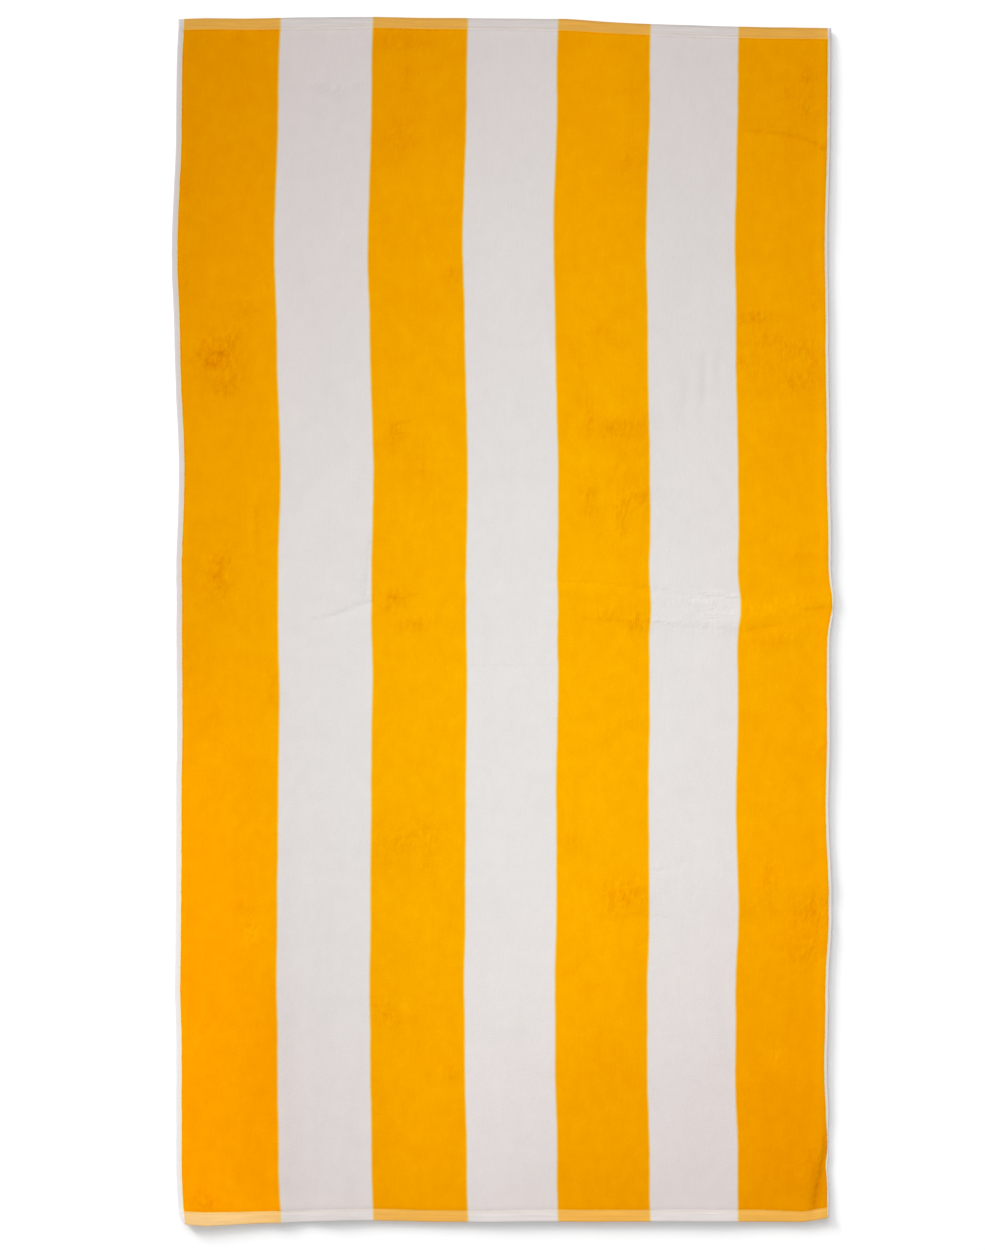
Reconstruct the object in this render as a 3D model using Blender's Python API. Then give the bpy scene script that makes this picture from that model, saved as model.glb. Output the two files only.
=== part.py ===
"""A striped velour beach towel, lying face up and smoothed out by hand on a flat surface.

The towel is one closed sheet of cloth. A point of it has two coordinates on the cloth: `across`, from
the left selvedge, and `along`, from the middle line towards the head edge. The tables below say how
far the cloth strays from a true rectangle, where it is creased and where it lifts. Table lengths are
millimetres.
The frame is +Z up, +Y towards the head edge, with the origin under the middle of the towel's box.
"""

import bpy
import numpy as np

MM = 0.001

# The cloth as it was woven: seven stripes, each a little narrower than the one on its left.
STRIPE_COUNT = 7
FIRST_STRIPE = 0.1273
STRIPE_CHANGE = -0.00155
LEFT_SELVEDGE = 0.0074
RIGHT_SELVEDGE = 0.0046
LENGTH = 1.600
HALF_LENGTH = LENGTH / 2
HEM = 0.016

# Thickness of the pile, of the turned hem, of the selvedge and of the cloth's very edge, and how far in
# from an edge the cloth and the pile reach their full thickness.
PILE_THICKNESS = 0.0034
HEM_THICKNESS = 0.0026
SELVEDGE_THICKNESS = 0.00195
EDGE_THICKNESS = 0.0015
EDGE_ROUNDING = 0.0015
PILE_ROUNDING = 0.0050

# How far a rise has to reach before the underside leaves the surface that it lies on.
CLINGING = 0.00025

# Grid steps: the widest cell in the pile, and the steps close to the middle fold.
CELLS_PER_STRIPE = 7
LONG_STEP = 0.023
FOLD_STEP = 0.010
FOLD_HALF_WIDTH = 0.055

# The end edges, read at places across the cloth: how far each strays towards the head, and how deep its
# hem is.
END_EDGES = np.array([
    # across, head edge, foot edge, head hem, foot hem
    (0, 0.8, -2.5, 15.3, 17.4),
    (34, 2.0, -5.4, 15.2, 18.4),
    (82, 1.7, -3.4, 15.4, 16.4),
    (150, 2.9, -1.0, 15.8, 15.9),
    (202, 3.6, 1.4, 15.9, 15.6),
    (262, 4.1, 2.1, 15.0, 15.6),
    (322, 2.4, 0.4, 14.9, 15.4),
    (400, 1.9, -0.4, 15.1, 15.6),
    (514, 1.2, 0.8, 15.7, 16.1),
    (561, -2.1, 0.5, 15.5, 15.9),
    (609, -4.9, 0.3, 15.3, 15.8),
    (681, -7.0, 0.6, 15.8, 15.8),
    (777, -9.8, 0.4, 15.7, 15.9),
    (833, -10.8, -0.1, 15.6, 14.0),
    (849, -10.8, 1.6, 15.6, 14.4),
    (870, -11.4, 4.7, 15.6, 14.2),
])

# Sideways drift of the cloth: each row pushes a stretch of it to the right, the middle more or less than
# halfway between its two sides.
SIDE_DRIFT = np.array([
    # station, reach, left side, right side, extra in the middle
    (810, 55, 3.5, 1.6, 0.0),
    (700, 70, 0.6, 1.1, 0.3),
    (500, 95, -5.0, -2.6, 0.0),
    (345, 50, -1.0, -1.2, 0.7),
    (205, 75, 4.0, -0.2, 0.6),
    (120, 50, 0.6, 2.2, 0.0),
    (21, 31, 0.6, 6.8, -2.2),
    (-75, 60, 1.2, -0.4, 1.5),
    (-150, 50, 1.2, 0.9, -0.3),
    (-250, 55, 0.3, -1.6, 0.8),
    (-395, 75, -0.4, 3.0, -1.3),
    (-480, 55, -1.1, -1.8, -0.5),
    (-600, 70, 0.2, -3.2, 0.3),
    (-700, 50, 0.3, 0.8, 0.9),
    (-835, 70, 6.0, 0.6, 0.5),
])

# Corners drawn in at the foot.
DRAWN_CORNERS = np.array([
    # across, along, pulled right, pulled to the head, reach across, reach along
    (0, -800, 2.5, 5.0, 5, 7),
    (870, -800, 0.5, 0.0, 16, 16),
])

# Where the right selvedge turns under, so that less of it shows from above, and how far the cloth beside it
# comes out with it.
TUCKS = np.array([
    # along, reach, share that is hidden
    (-696, 22, 0.85),
    (-745, 30, 0.60),
    (17, 10, 0.90),
    (20, 75, 0.40),
])
TUCK_REACH = 0.040
TUCK_PULL = 0.001

# Creases: straight runs on the cloth, each a soft ridge (over 0) or a trough (under 0).
CREASES = np.array([
    # from across, along, to across, along, height, half-width
    (752, 2, 872, 34, 1.3, 17),         # middle fold, the raised run to the right side
    (750, -20, 868, 12, -0.4, 12),      # its shaded lower flank
    (508, 42, 752, 22, 0.7, 13),        # middle fold, across the third yellow and third white
    (262, 28, 420, 34, 0.5, 15),        # low ridge across the second yellow
    (505, 405, 548, 300, -1.0, 14),     # slanting trough in the third yellow
    (548, 300, 620, 262, -0.8, 16),
    (500, 388, 520, 300, 0.9, 16),
    (168, -795, 162, -320, -1.0, 18),   # long waves that run up from the foot at the left
    (136, -800, 132, -380, 1.2, 15),
    (112, -770, 98, -500, -0.9, 18),
    (212, -790, 236, -560, 0.9, 22),
    (632, -500, 716, -624, -0.8, 13),   # two slack slants above the foot at the right
    (726, -486, 746, -594, -0.9, 12),
    (764, -400, 868, -382, -0.9, 16),   # slack across the fourth yellow
    (764, -360, 868, -352, 0.9, 17),
    (848, -784, 858, -716, -1.8, 9),    # the foot's right corner, where it curls
])

# Places where the whole cloth stands off the surface.
LIFTS = np.array([
    # across, along, reach across, reach along, lift
    (0, -800, 55, 60, 2.4),
    (868, -800, 42, 85, 2.4),
    (40, -806, 170, 22, 2.4),
    (430, -806, 420, 20, 2.8),
    (870, 24, 70, 22, 1.2),
    (874, -120, 14, 260, 2.5),
    (874, 330, 13, 300, 2.2),
    (874, 740, 13, 160, 2.0),
    (874, -560, 15, 190, 2.4),
    (-4, 520, 12, 200, 1.4),
    (-4, 805, 50, 40, 1.6),
])

COLOURS = {
    "golden_velour": (0.905, 0.402, 0.004, 1.0),
    "white_velour": (0.745, 0.715, 0.700, 1.0),
    "flat_woven_selvedge": (0.690, 0.660, 0.650, 1.0),
}
COTTON_ROUGHNESS = 0.95


def stripe_edges():
    """Places of the stripes' edges across the cloth, from the left selvedge to the right one."""
    widths = FIRST_STRIPE + STRIPE_CHANGE * np.arange(STRIPE_COUNT)
    return LEFT_SELVEDGE + np.concatenate([[0.0], np.cumsum(widths)])


def cloth_width():
    return stripe_edges()[-1] + RIGHT_SELVEDGE


def bell(distance):
    """A smooth hump, 1 at 0 and near 0 past 2."""
    return np.exp(-distance**2)


def end_edge(column, across):
    """A column of END_EDGES, read smoothly at any place across the cloth."""
    return np.interp(across, END_EDGES[:, 0] * MM, END_EDGES[:, column] * MM)


def plan(across, along):
    """Where a point of the cloth lies, seen from above."""
    share = across / cloth_width()
    x = across.copy()
    for station, reach, left, right, middle in SIDE_DRIFT * MM:
        sideways = left + (right - left) * share + middle * 4 * share * (1 - share)
        x += bell((along - station) / reach) * sideways

    # The woven ends keep their own depth, and the cloth beside them takes up the difference.
    from_end = HALF_LENGTH - np.abs(along)
    hem = np.where(along > 0, end_edge(3, across), end_edge(4, across))
    shift = (hem - HEM) * np.interp(from_end, [0, HEM, 4 * HEM], [0, 1, 0])
    stray = np.where(along > 0, end_edge(1, across), end_edge(2, across))
    y = along - np.sign(along) * shift + stray * np.abs(along) / HALF_LENGTH

    hidden = np.zeros_like(along)
    for station, reach, share_hidden in TUCKS:
        hidden = np.maximum(hidden, share_hidden * bell((along / MM - station) / reach))
    past_pile = across - stripe_edges()[-1]
    beside = np.clip(1 + past_pile / TUCK_REACH, 0, 1)
    x += hidden * (beside * TUCK_PULL - np.maximum(past_pile, 0))

    for corner_across, corner_along, right, up, reach_across, reach_along in DRAWN_CORNERS * MM:
        near = bell(np.hypot((across - corner_across) / reach_across, (along - corner_along) / reach_along))
        x += near * right
        y += near * up
    return x, y


def crease_height(across, along, crease):
    """One crease: a rounded ridge or trough along its run, which dies away past both ends."""
    start_across, start_along, end_across, end_along, height, half_width = crease * MM
    run = np.array([end_across - start_across, end_along - start_along])
    length = np.hypot(*run)
    ahead = ((across - start_across) * run[0] + (along - start_along) * run[1]) / length
    aside = ((along - start_along) * run[0] - (across - start_across) * run[1]) / length
    past = np.maximum(np.maximum(-ahead, ahead - length), 0)
    return height * bell(aside / half_width) * bell(past / (2 * half_width))


def relief(across, along):
    """(rise, pressed): how far the whole cloth stands off the surface, and how far its face is sunk."""
    rise = np.zeros_like(across)
    pressed = np.zeros_like(across)
    for crease in CREASES:
        height = crease_height(across, along, crease)
        rise += np.maximum(height, 0)
        pressed += np.maximum(-height, 0)
    for centre_across, centre_along, reach_across, reach_along, lift in LIFTS * MM:
        near_across = (across - centre_across) / reach_across
        near_along = (along - centre_along) / reach_along
        rise += lift * bell(np.hypot(near_across, near_along))
    return np.maximum(rise - CLINGING, 0), pressed


def thickness(across, along):
    """Full in the pile, less in the hems and selvedges, and rounded off at the cloth's edges."""
    width = cloth_width()
    from_end = HALF_LENGTH - np.abs(along)
    from_side = np.minimum(across, width - across)
    selvedge = np.where(across < width / 2, LEFT_SELVEDGE, RIGHT_SELVEDGE)
    into_pile = np.minimum(from_end - HEM, from_side - selvedge) / PILE_ROUNDING
    flat = np.where(from_side < selvedge, SELVEDGE_THICKNESS, HEM_THICKNESS)
    rounded = np.clip(np.minimum(from_end, from_side) / EDGE_ROUNDING, 0, 1)
    border = EDGE_THICKNESS + (flat - EDGE_THICKNESS) * np.sqrt(rounded)
    return border + (PILE_THICKNESS - border) * np.clip(into_pile, 0, 1)


def across_lines():
    """Grid lines across the cloth: through each selvedge's edges, and evenly through each stripe."""
    edges = stripe_edges()
    width = cloth_width()
    lines = [[0.0, EDGE_ROUNDING, edges[0], edges[0] + PILE_ROUNDING]]
    for low, high in zip(edges[:-1], edges[1:]):
        lines.append(np.linspace(low, high, CELLS_PER_STRIPE + 1)[1:])
    lines.append([edges[-1] - PILE_ROUNDING, width - EDGE_ROUNDING, width])
    return np.unique(np.concatenate(lines))


def along_lines():
    """Grid lines along the cloth: through each hem's edges, and closer together over the middle fold."""
    pile_end = HALF_LENGTH - HEM
    inner_end = pile_end - PILE_ROUNDING
    steps = round((inner_end - FOLD_HALF_WIDTH) / LONG_STEP)
    half_plain = np.linspace(FOLD_HALF_WIDTH, inner_end, steps + 1)
    half = np.concatenate([half_plain, [pile_end, HALF_LENGTH - EDGE_ROUNDING, HALF_LENGTH]])
    fold = np.linspace(-FOLD_HALF_WIDTH, FOLD_HALF_WIDTH, round(2 * FOLD_HALF_WIDTH / FOLD_STEP) + 1)
    return np.unique(np.concatenate([-half, fold, half]).round(6))


def cotton(name, colour):
    """A matt cotton material in one colour."""
    material = bpy.data.materials.new(name)
    material.use_nodes = True
    shader = material.node_tree.nodes["Principled BSDF"]
    shader.inputs["Base Color"].default_value = colour
    shader.inputs["Roughness"].default_value = COTTON_ROUGHNESS
    shader.inputs["Metallic"].default_value = 0.0
    material.diffuse_color = colour
    return material


def material_columns(lines):
    """Which material each column of cells has: 0 and 1 for the stripes in turn, 2 for a selvedge."""
    middles = (lines[:-1] + lines[1:]) / 2
    stripe = np.searchsorted(stripe_edges(), middles) - 1
    inside = (stripe >= 0) & (stripe < STRIPE_COUNT)
    return np.where(inside, stripe % 2, 2)


def towel_points(across, along):
    """The face and the back of the cloth, as two grids of points about the middle of its box."""
    x, y = plan(across, along)
    rise, pressed = relief(across, along)
    top = rise + thickness(across, along) - pressed
    x -= (x.min() + x.max()) / 2
    y -= (y.min() + y.max()) / 2
    return np.stack([x, y, top], axis=-1), np.stack([x, y, rise], axis=-1)


def towel_faces(columns, rows):
    """Quads of the face, of the back turned over, and of the rim that joins them."""
    face = np.arange(columns * rows).reshape(columns, rows)
    back = face + columns * rows
    up = np.stack([face[:-1, :-1], face[1:, :-1], face[1:, 1:], face[:-1, 1:]], axis=-1)
    down = np.stack([back[:-1, :-1], back[:-1, 1:], back[1:, 1:], back[1:, :-1]], axis=-1)
    ring = np.concatenate([face[:-1, 0], face[-1, :-1], face[:0:-1, -1], face[0, :0:-1]])
    ahead = np.roll(ring, -1)
    under = columns * rows
    rim = np.stack([ring, ring + under, ahead + under, ahead], axis=-1)
    return up.reshape(-1, 4), down.reshape(-1, 4), rim


def build_towel():
    """The towel: a closed sheet with a face, a back and a thin rim."""
    lines = across_lines()
    across, along = np.meshgrid(lines, along_lines(), indexing="ij")
    face, back = towel_points(across, along)
    columns, rows = across.shape
    up, down, rim = towel_faces(columns, rows)

    mesh = bpy.data.meshes.new("towel")
    points = np.concatenate([face.reshape(-1, 3), back.reshape(-1, 3)])
    mesh.from_pydata(points.tolist(), [], np.concatenate([up, down, rim]).tolist())

    for name, colour in COLOURS.items():
        mesh.materials.append(cotton(name, colour))
    by_cell = np.repeat(material_columns(lines), rows - 1)
    by_face = np.concatenate([by_cell, by_cell, np.full(len(rim), len(COLOURS) - 1)])
    mesh.polygons.foreach_set("material_index", by_face.astype(np.int32))
    mesh.shade_smooth()
    mesh.update()

    towel = bpy.data.objects.new("towel", mesh)
    bpy.context.scene.collection.objects.link(towel)
    return towel


def main():
    for old in list(bpy.data.objects):
        bpy.data.objects.remove(old, do_unlink=True)
    build_towel()


main()
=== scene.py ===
"""The looks of a striped velour beach towel, laid out flat and smoothed by hand.

A point of the cloth has two coordinates on it: `across`, from the left selvedge, and `along`, from the middle
line towards the head edge. The tables say how far the cloth strays from a true rectangle, where it is creased
and where it lifts. Lengths in the tables are millimetres. All others are metres, except the camera's
lens and sensor.
"""

import bpy
import numpy as np
from bpy.props import FloatProperty, FloatVectorProperty, PointerProperty
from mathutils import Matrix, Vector


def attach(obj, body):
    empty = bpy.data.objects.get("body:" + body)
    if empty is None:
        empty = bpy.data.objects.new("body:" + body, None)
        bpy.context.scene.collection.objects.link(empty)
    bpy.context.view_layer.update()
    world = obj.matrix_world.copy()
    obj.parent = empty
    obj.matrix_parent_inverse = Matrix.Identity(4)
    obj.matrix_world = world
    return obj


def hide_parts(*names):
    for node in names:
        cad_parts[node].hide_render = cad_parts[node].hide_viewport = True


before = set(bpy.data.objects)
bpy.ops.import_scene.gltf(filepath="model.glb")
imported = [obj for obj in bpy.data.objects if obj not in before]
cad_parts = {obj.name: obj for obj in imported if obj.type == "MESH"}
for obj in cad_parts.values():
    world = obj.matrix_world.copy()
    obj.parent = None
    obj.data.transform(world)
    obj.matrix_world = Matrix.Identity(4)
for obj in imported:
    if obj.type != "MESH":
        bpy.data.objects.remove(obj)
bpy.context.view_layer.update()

bl_info = {
    "name": "Striped Beach Towel",
    "version": (1, 0, 0),
    "blender": (4, 5, 0),
    "location": "3D View > Sidebar > Beach Towel",
    "description": "Makes a cotton velour beach towel with woven stripes, laid out flat",
    "category": "Add Mesh",
}

MM = 0.001
STRIPE_COUNT = 7

# ---------------------------------------------------------------------------------------------------------
# How the cloth lies

# How far each end edge lies past its true place, towards the head, and how deep its hem is.
END_EDGES = np.array([
    # across, head edge, foot edge, head hem, foot hem
    (0, 0.8, -2.5, 15.3, 17.4),
    (34, 2.0, -5.4, 15.2, 18.4),
    (82, 1.7, -3.4, 15.4, 16.4),
    (150, 2.9, -1.0, 15.8, 15.9),
    (202, 3.6, 1.4, 15.9, 15.6),
    (262, 4.1, 2.1, 15.0, 15.6),
    (322, 2.4, 0.4, 14.9, 15.4),
    (400, 1.9, -0.4, 15.1, 15.6),
    (514, 1.2, 0.8, 15.7, 16.1),
    (561, -2.1, 0.5, 15.5, 15.9),
    (609, -4.9, 0.3, 15.3, 15.8),
    (681, -7.0, 0.6, 15.8, 15.8),
    (777, -9.8, 0.4, 15.7, 15.9),
    (833, -10.8, -0.1, 15.6, 14.0),
    (849, -10.8, 2.0, 15.6, 14.4),
    (870, -11.4, 6.2, 15.6, 14.2),
])
HEAD_EDGE, FOOT_EDGE, HEAD_HEM, FOOT_HEM = range(1, 5)  # its columns

# Sideways drift of the cloth. Each row pushes a stretch of it to the right, by these amounts.
SIDE_DRIFT = np.array([
    # station, reach, left side, right side, extra in the middle
    (810, 55, 3.5, 1.6, 0.0),
    (700, 70, 0.6, 1.1, 0.3),
    (500, 95, -5.0, -2.6, 0.0),
    (345, 50, -1.0, -1.2, 0.7),
    (205, 75, 4.0, -0.2, 0.6),
    (120, 50, 0.6, 2.2, 0.0),
    (21, 31, 0.6, 6.8, -2.2),
    (-75, 60, 1.2, -0.4, 1.5),
    (-150, 50, 1.2, 0.9, -0.3),
    (-250, 55, 0.3, -1.6, 0.8),
    (-395, 75, -0.4, 3.0, -1.3),
    (-480, 55, -1.1, -1.8, -0.5),
    (-600, 70, 0.2, -3.2, 0.3),
    (-700, 50, 0.3, 0.8, 0.9),
    (-835, 70, 6.0, 0.6, 0.5),
])

# Where a corner or an edge is pulled out of line.
DRAWN_CORNERS = np.array([
    # across, along, pulled right, pulled to the head, reach across, reach along
    (0, -800, 2.5, 5.0, 5, 7),
    (870, -800, 0.5, 0.0, 16, 16),
    (870, -731, -1.8, 0.0, 22, 12),
    (870, 60, 1.2, 0.0, 40, 40),
    (0, 425, -0.8, 0.0, 30, 60),
])

# Where the right selvedge turns under, so that less of it shows from above, and how far the cloth beside it
# comes out with it.
TUCKS = np.array([
    # along, reach, share that is hidden
    (-696, 22, 0.85),
    (-745, 30, 0.60),
    (-795, 26, 0.60),
    (17, 10, 0.90),
    (20, 75, 0.40),
])
TUCK_REACH = 40 * MM
TUCK_PULL = 1 * MM

# Straight runs on the cloth: soft ridges, or troughs pressed into the pile where the height is negative.
CREASES = np.array([
    # from across, along, to across, along, height, half-width
    (752, 2, 872, 34, 1.3, 17),  # middle fold, the raised run to the right side
    (750, -20, 868, 12, -0.4, 12),  # its shaded lower flank
    (508, 42, 752, 22, 0.7, 13),  # middle fold, across the third yellow and third white
    (262, 28, 420, 34, 0.5, 15),  # low ridge across the second yellow
    (505, 405, 548, 300, -1.0, 14),  # slanting trough in the third yellow
    (548, 300, 620, 262, -0.8, 16),
    (500, 388, 520, 300, 0.9, 16),
    (168, -795, 162, -320, -1.0, 18),  # long waves that run up from the foot at the left
    (136, -800, 132, -380, 1.2, 15),
    (112, -770, 98, -500, -0.9, 18),
    (212, -790, 236, -560, 0.9, 22),
    (632, -500, 716, -624, -0.8, 13),  # two slack slants above the foot at the right
    (726, -486, 746, -594, -0.9, 12),
    (764, -400, 868, -382, -0.9, 16),  # slack across the fourth yellow
    (764, -360, 868, -352, 0.9, 17),
    (204, 4, 256, 23, -0.6, 6),  # slanting crease in the first white stripe
    (250, 32, 257, 100, -0.5, 5),  # the steep crease that meets it
    (770, 658, 820, 654, -0.6, 6),  # bowed crease near the head, at the right
    (820, 654, 872, 632, -0.8, 6),
    (679, 288, 681, 327, -0.6, 5),  # three short troughs in the third white
    (703, 292, 706, 352, -0.8, 5),
    (723, 318, 724, 352, -0.6, 5),
    (851, -784, 863, -722, -1.8, 7),  # the foot's right corner, where it curls
])

# Where the cloth stands off the floor.
LIFTS = np.array([
    # across, along, reach across, reach along, lift
    (0, -800, 55, 60, 2.4),
    (868, -800, 42, 85, 1.6),
    (40, -806, 170, 22, 1.9),
    (430, -806, 420, 20, 2.9),
    (520, -806, 150, 20, 1.1),
    (740, -806, 130, 20, 2.0),
    (874, 22, 16, 30, -0.9),
    (874, -120, 14, 260, 3.65),
    (874, -380, 14, 110, 0.6),
    (874, 330, 14, 300, 3.45),
    (874, 541, 14, 75, 0.9),
    (874, 740, 14, 160, 2.9),
    (874, -560, 15, 190, 3.2),
    (-4, 520, 12, 200, 1.4),
    (-4, 805, 50, 40, 1.6),
])
# Where it would stand off by less than this, it lies flat.
CLINGING = 0.25 * MM

# Small waves of the cloth everywhere: seed, shortest wave, longest wave, height.
SIDEWAYS_WAVES = (11, 70 * MM, 300 * MM, 0.22 * MM)
SIDEWAYS_RIPPLES = (14, 16 * MM, 55 * MM, 0.11 * MM)
LENGTHWISE_WAVES = (12, 50 * MM, 220 * MM, 0.18 * MM)
RISING_WAVES = (13, 35 * MM, 190 * MM, 0.10 * MM)
WAVE_COUNT = 22

# Places along each edge at which the outline's box is measured.
OUTLINE_SAMPLES = 600

# Where a hand has brushed the pile the other way and it looks darker. A few rows, as marked, are painted
# shade and painted highlight. A negative strength is lighter, and the turn is anticlockwise, in degrees.
BRUSHED = np.array([
    # across, along, half-width, half-length, turn, strength
    (46, 346, 16, 28, 12, 0.9),  # first yellow
    (66, 360, 19, 26, -20, 0.5),
    (70, 372, 30, 9, 45, 0.5),
    (80, 336, 20, 22, 0, 0.4),
    (68, 311, 17, 13, 0, 0.7),
    (100, 415, 31, 8, 8, 0.5),
    (18, 472, 9, 40, 0, 0.5),
    (14, 582, 9, 28, 0, 0.6),
    (54, 348, 32, 46, 0, 0.5),
    (124, 444, 12, 24, 0, -0.5),
    (56, 60, 34, 50, 0, 0.4),
    (60, 80, 11, 26, -28, 0.6),
    (56, 50, 14, 24, 0, 0.8),
    (14, -45, 9, 42, 0, 0.5),
    (126, -88, 9, 28, 15, 0.5),
    (45, -130, 21, 17, 0, 0.4),
    (87, -376, 17, 8, 0, 0.6),
    (101, -414, 13, 19, 0, -0.9),
    (22, -548, 17, 19, 0, -0.5),
    (33, -767, 18, 11, -32, 0.9),
    (196, 706, 17, 7, -20, 0.7),  # first white, near the head
    (214, 706, 8, 12, 20, 0.5),
    (241, 710, 9, 6, 0, 0.5),
    (288, 248, 17, 24, 0, 0.6),  # second yellow
    (324, 216, 9, 54, 0, 0.4),
    (288, 29, 19, 13, 30, 1.0),
    (316, -2, 31, 11, 5, 0.7),
    (312, -290, 44, 40, 0, 0.3),
    (284, -306, 18, 24, 0, 0.4),
    (312, -288, 28, 12, 15, 0.35),
    (336, -300, 9, 50, 0, 0.5),
    (284, -521, 21, 24, 0, 0.7),
    (304, -511, 11, 12, 0, -0.7),
    (368, 462, 14, 13, 0, 0.7),
    (298, 642, 20, 31, 0, 0.6),
    (303, 720, 9, 24, 0, 0.5),
    (294, 768, 33, 14, 0, 0.6),
    (369, -600, 13, 11, 0, 0.6),
    (590, 250, 44, 60, 0, 0.3),
    (600, 160, 40, 50, 0, 0.3),
    (590, 263, 40, 13, 6, 0.7),  # third yellow
    # painted shade along the slanting trough
    (528, 365, 6, 13, 25, 0.7),
    (539, 334, 5, 24, 12, 0.5),
    (549, 282, 5, 26, 6, 0.6),
    (546, 170, 9, 31, 0, 0.8),
    (590, 142, 8, 28, 0, 0.8),
    (616, 166, 17, 14, 0, 0.7),
    (550, 216, 24, 15, 0, -0.4),
    (585, 288, 24, 14, 0, -0.5),
    (578, 6, 31, 17, 0, 0.6),
    (613, 0, 15, 17, 0, 0.9),
    (600, -135, 17, 9, 0, 0.5),
    (566, -154, 13, 11, 0, 0.5),
    (530, -290, 14, 12, 0, 0.5),
    (598, -368, 35, 24, 10, 1.0),
    (572, 381, 24, 17, 0, 0.5),
    (604, 625, 14, 31, 0, 0.5),
    # painted highlight on the middle fold, and painted shade below it
    (690, 26, 54, 12, -2, -0.5),  # third white, in the middle fold
    (690, -6, 54, 11, -2, 0.4),
    (770, 410, 22, 9, 0, 1.0),  # fourth yellow
    (800, 349, 58, 44, 0, 0.4),
    (833, 367, 19, 12, 0, 0.6),
    (850, 345, 10, 20, 0, 0.5),
    (756, 350, 12, 8, 0, 0.6),
    (830, 322, 22, 12, 0, 0.7),
    (785, 381, 24, 12, 0, 0.5),
    (850, 436, 11, 28, 0, 0.5),
    (846, 738, 12, 40, 0, 0.4),
    (828, 699, 21, 19, 0, 0.3),
    (836, 736, 6, 9, 0, 0.9),
    (814, 715, 6, 7, 0, 0.7),
    (834, 688, 6, 7, 0, 0.8),
    (853, 688, 6, 8, 0, 0.5),
    (826, 86, 12, 11, 0, 0.6),
    # painted highlight on the middle fold, and painted shade on its lower flank
    (802, 22, 60, 15, 9, -0.5),
    (800, -22, 70, 16, 9, 0.35),
    (854, -172, 14, 12, 0, 0.6),
    (786, -346, 15, 24, 0, 0.6),
    (838, -400, 34, 60, 0, 0.3),
    (846, -385, 26, 17, 0, 0.6),
    (838, -440, 26, 31, 0, 0.4),
    (800, -575, 17, 17, 0, -0.6),
    # painted shade in the foot's curled corner
    (855, -758, 5, 26, -9, 0.4),
    (848, -722, 22, 30, 0, 0.4),
])
BRUSHED_LIMITS = (-1, 1.5)

# Painted light and shade: broad areas where the pile is painted brighter, and where it is painted darker.
PAINTED_LIGHT_AND_SHADE = np.array([
    # across, along, reach across, reach along, strength
    (322, -640, 80, 200, 0.050),
    (440, -560, 80, 260, 0.035),
    (560, -440, 80, 160, 0.035),
    (440, 540, 90, 260, 0.035),
    (560, 620, 60, 220, 0.030),
    (320, 540, 70, 150, 0.025),
    (60, 720, 100, 120, -0.030),
    (840, -770, 80, 120, -0.030),
    (18, 540, 34, 330, -0.022),
    (18, 760, 30, 70, -0.012),
    (34, -50, 24, 40, -0.025),
    (100, 420, 40, 120, 0.012),
    (150, -640, 24, 120, 0.020),
    (200, -500, 36, 110, -0.012),
    (322, -700, 80, 60, 0.012),
    (565, 740, 60, 60, 0.012),
    (514, 330, 16, 50, 0.018),
    (588, 258, 42, 16, -0.014),
    (843, -385, 26, 15, -0.012),
    (600, 640, 130, 200, 0.010),
    (690, -800, 300, 55, -0.018),
    (762, 560, 30, 110, 0.014),
    (800, -330, 70, 60, 0.018),
    # painted shade in the foot's curled corner, and a painted highlight beside it
    (852, -764, 8, 22, -0.110),
    (859, -738, 7, 14, -0.070),
    (864, -706, 5, 24, -0.080),
    (836, -781, 14, 7, 0.040),
    # painted shade beside the three short troughs in the third white
    (679, 308, 5, 22, -0.020),
    (703, 324, 5, 30, -0.030),
    (722, 335, 5, 18, -0.020),
])

# Where the golden pile is painted more orange than around it, on top of its painted shade tint. A negative
# change is yellower.
ORANGE = np.array([
    # across, along, reach across, reach along, change
    (115, -620, 40, 160, 0.45),
    (40, -292, 70, 120, -0.25),
    (800, -680, 70, 120, 0.20),
    (592, 256, 42, 16, 0.20),
])

# Thickness of the cloth inward from an end edge: a turned and stitched hem, then the pile.
HEM_PROFILE = np.array([
    # from the edge, thickness
    (0.0, 2.2), (0.4, 2.5), (1.2, 2.6), (4.0, 2.65), (8.0, 2.6), (12.4, 2.6), (13.2, 2.45), (14.0, 2.55),
    (15.7, 2.5), (17.2, 2.85), (19.0, 3.15), (22.5, 3.4),
])
STITCH_LINE = 13.2 * MM

# Thickness of a hem inward from its own end, at the towel's corner.
HEM_END_PROFILE = np.array([
    # from the side, thickness
    (0.0, 1.7), (0.5, 2.2), (2.0, 2.7),
])

# Thickness outward and inward of the line where the pile starts, beside a selvedge.
SELVEDGE_PROFILE = np.array([
    # into the pile, thickness
    (-7.4, 1.5), (-7.0, 1.8), (-6.4, 1.95), (-4.6, 1.95), (-2.6, 1.9), (-0.2, 1.95), (1.2, 2.55), (3.0, 3.0),
    (6.5, 3.4),
])
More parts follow.
